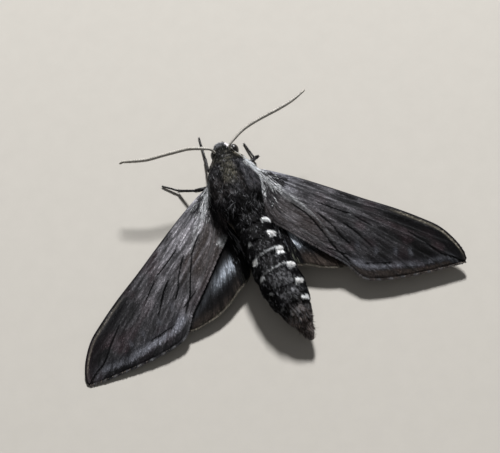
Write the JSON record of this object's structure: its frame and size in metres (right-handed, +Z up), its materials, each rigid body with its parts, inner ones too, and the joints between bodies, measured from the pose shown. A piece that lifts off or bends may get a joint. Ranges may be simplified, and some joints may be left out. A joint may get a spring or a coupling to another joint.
{
  "type": "hawk moth",
  "caption": "Life-size still model of a dark grey hawk moth at rest, forewings half spread over the hindwings, with a white-spotted abdomen and long swept feelers.",
  "frame": {"origin": "middle of the moth's outline, on the floor it rests on", "axes": "+X towards the moth's left wing tip, -Y the way its head points, +Z up through its back"},
  "size_m": [0.0838, 0.0524, 0.0132],
  "materials": {
    "body_fur": "charcoal scales and hair with white spots",
    "forewings": "charcoal scales, streaked",
    "hindwings": "black scales with a grey-white band",
    "eyes": "glossy, fine facets",
    "antennae": "pale scales over brown",
    "legs": "black scales"
  },
  "bodies": {
    "root": {"head": "body_fur", "collar": "body_fur", "thorax": "body_fur", "tegula_left": "body_fur", "tegula_right": "body_fur", "abdomen_1": "body_fur", "abdomen_2": "body_fur", "abdomen_3": "body_fur", "abdomen_4": "body_fur", "abdomen_5": "body_fur", "abdomen_6": "body_fur", "abdomen_7": "body_fur", "tail_tuft": "body_fur", "palp_left": "body_fur", "palp_right": "body_fur", "eye_left": "eyes", "eye_right": "eyes", "antenna_left": "antennae", "antenna_right": "antennae", "forewing_left": "forewings", "forewing_right": "forewings", "hindwing_left": "hindwings", "hindwing_right": "hindwings", "foreleg_left_femur": "legs", "foreleg_left_tibia": "legs", "foreleg_left_tarsus": "legs", "foreleg_right_femur": "legs", "foreleg_right_tibia": "legs", "foreleg_right_tarsus": "legs", "midleg_left_femur": "legs", "midleg_left_tibia": "legs", "midleg_left_tarsus": "legs", "midleg_right_femur": "legs", "midleg_right_tibia": "legs", "midleg_right_tarsus": "legs", "hindleg_left_femur": "legs", "hindleg_left_tibia": "legs", "hindleg_left_tarsus": "legs", "hindleg_right_femur": "legs", "hindleg_right_tibia": "legs", "hindleg_right_tarsus": "legs"}
  },
  "joints": []
}
